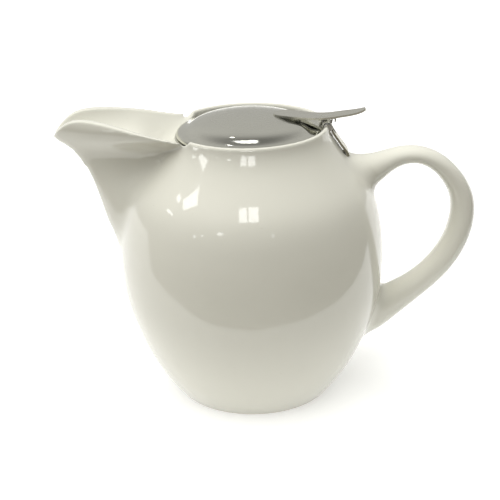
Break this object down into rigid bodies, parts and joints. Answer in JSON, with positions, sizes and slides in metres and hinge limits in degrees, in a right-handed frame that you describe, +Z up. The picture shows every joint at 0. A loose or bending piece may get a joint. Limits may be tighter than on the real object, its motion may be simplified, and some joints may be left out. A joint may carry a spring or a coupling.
{
  "type": "teapot infuser",
  "caption": "Rounded white porcelain teapot with an open beak spout, a loop handle, a sprung satin steel lid with a thumb lever, and a slotted steel infuser basket.",
  "frame": {"origin": "centre of the foot ring's underside, on the pot's vertical axis at table height", "axes": "+X from the pot's axis towards the handle, the spout points along -X; +Z up; +Y across the pot"},
  "size_m": [0.1984, 0.1262, 0.1398],
  "materials": {
    "porcelain": "glossy white glaze",
    "satin_steel": "satin",
    "polished_steel": "polished"
  },
  "bodies": {
    "pot": {"pot_body": "porcelain", "pot_neck": "porcelain", "pot_spout": "porcelain", "pot_handle": "porcelain", "hinge_strap": "satin_steel", "hinge_pin": "polished_steel", "spring_coil": "polished_steel"},
    "lid": {"lid_dome": "satin_steel", "thumb_lever": "satin_steel", "lid_hinge_leaf": "satin_steel", "spring_leg": "polished_steel"},
    "infuser": {"infuser_rim": "satin_steel", "infuser_collar": "satin_steel", "infuser_wall": "satin_steel", "infuser_hoop": "satin_steel", "infuser_base": "satin_steel"}
  },
  "joints": [
    {"name": "lid_hinge", "type": "hinge", "parent": "pot", "child": "lid", "pos_m": [0.0363, 0, 0.132], "axis": [0, 1, 0], "range_deg": [0, 60], "stiffness_Nm_per_rad": 0.01, "springref_deg": -28.65},
    {"name": "infuser_turn", "type": "hinge", "parent": "pot", "child": "infuser", "pos_m": [0, 0, 0.1277], "axis": [0, 0, 1], "continuous": true}
  ]
}
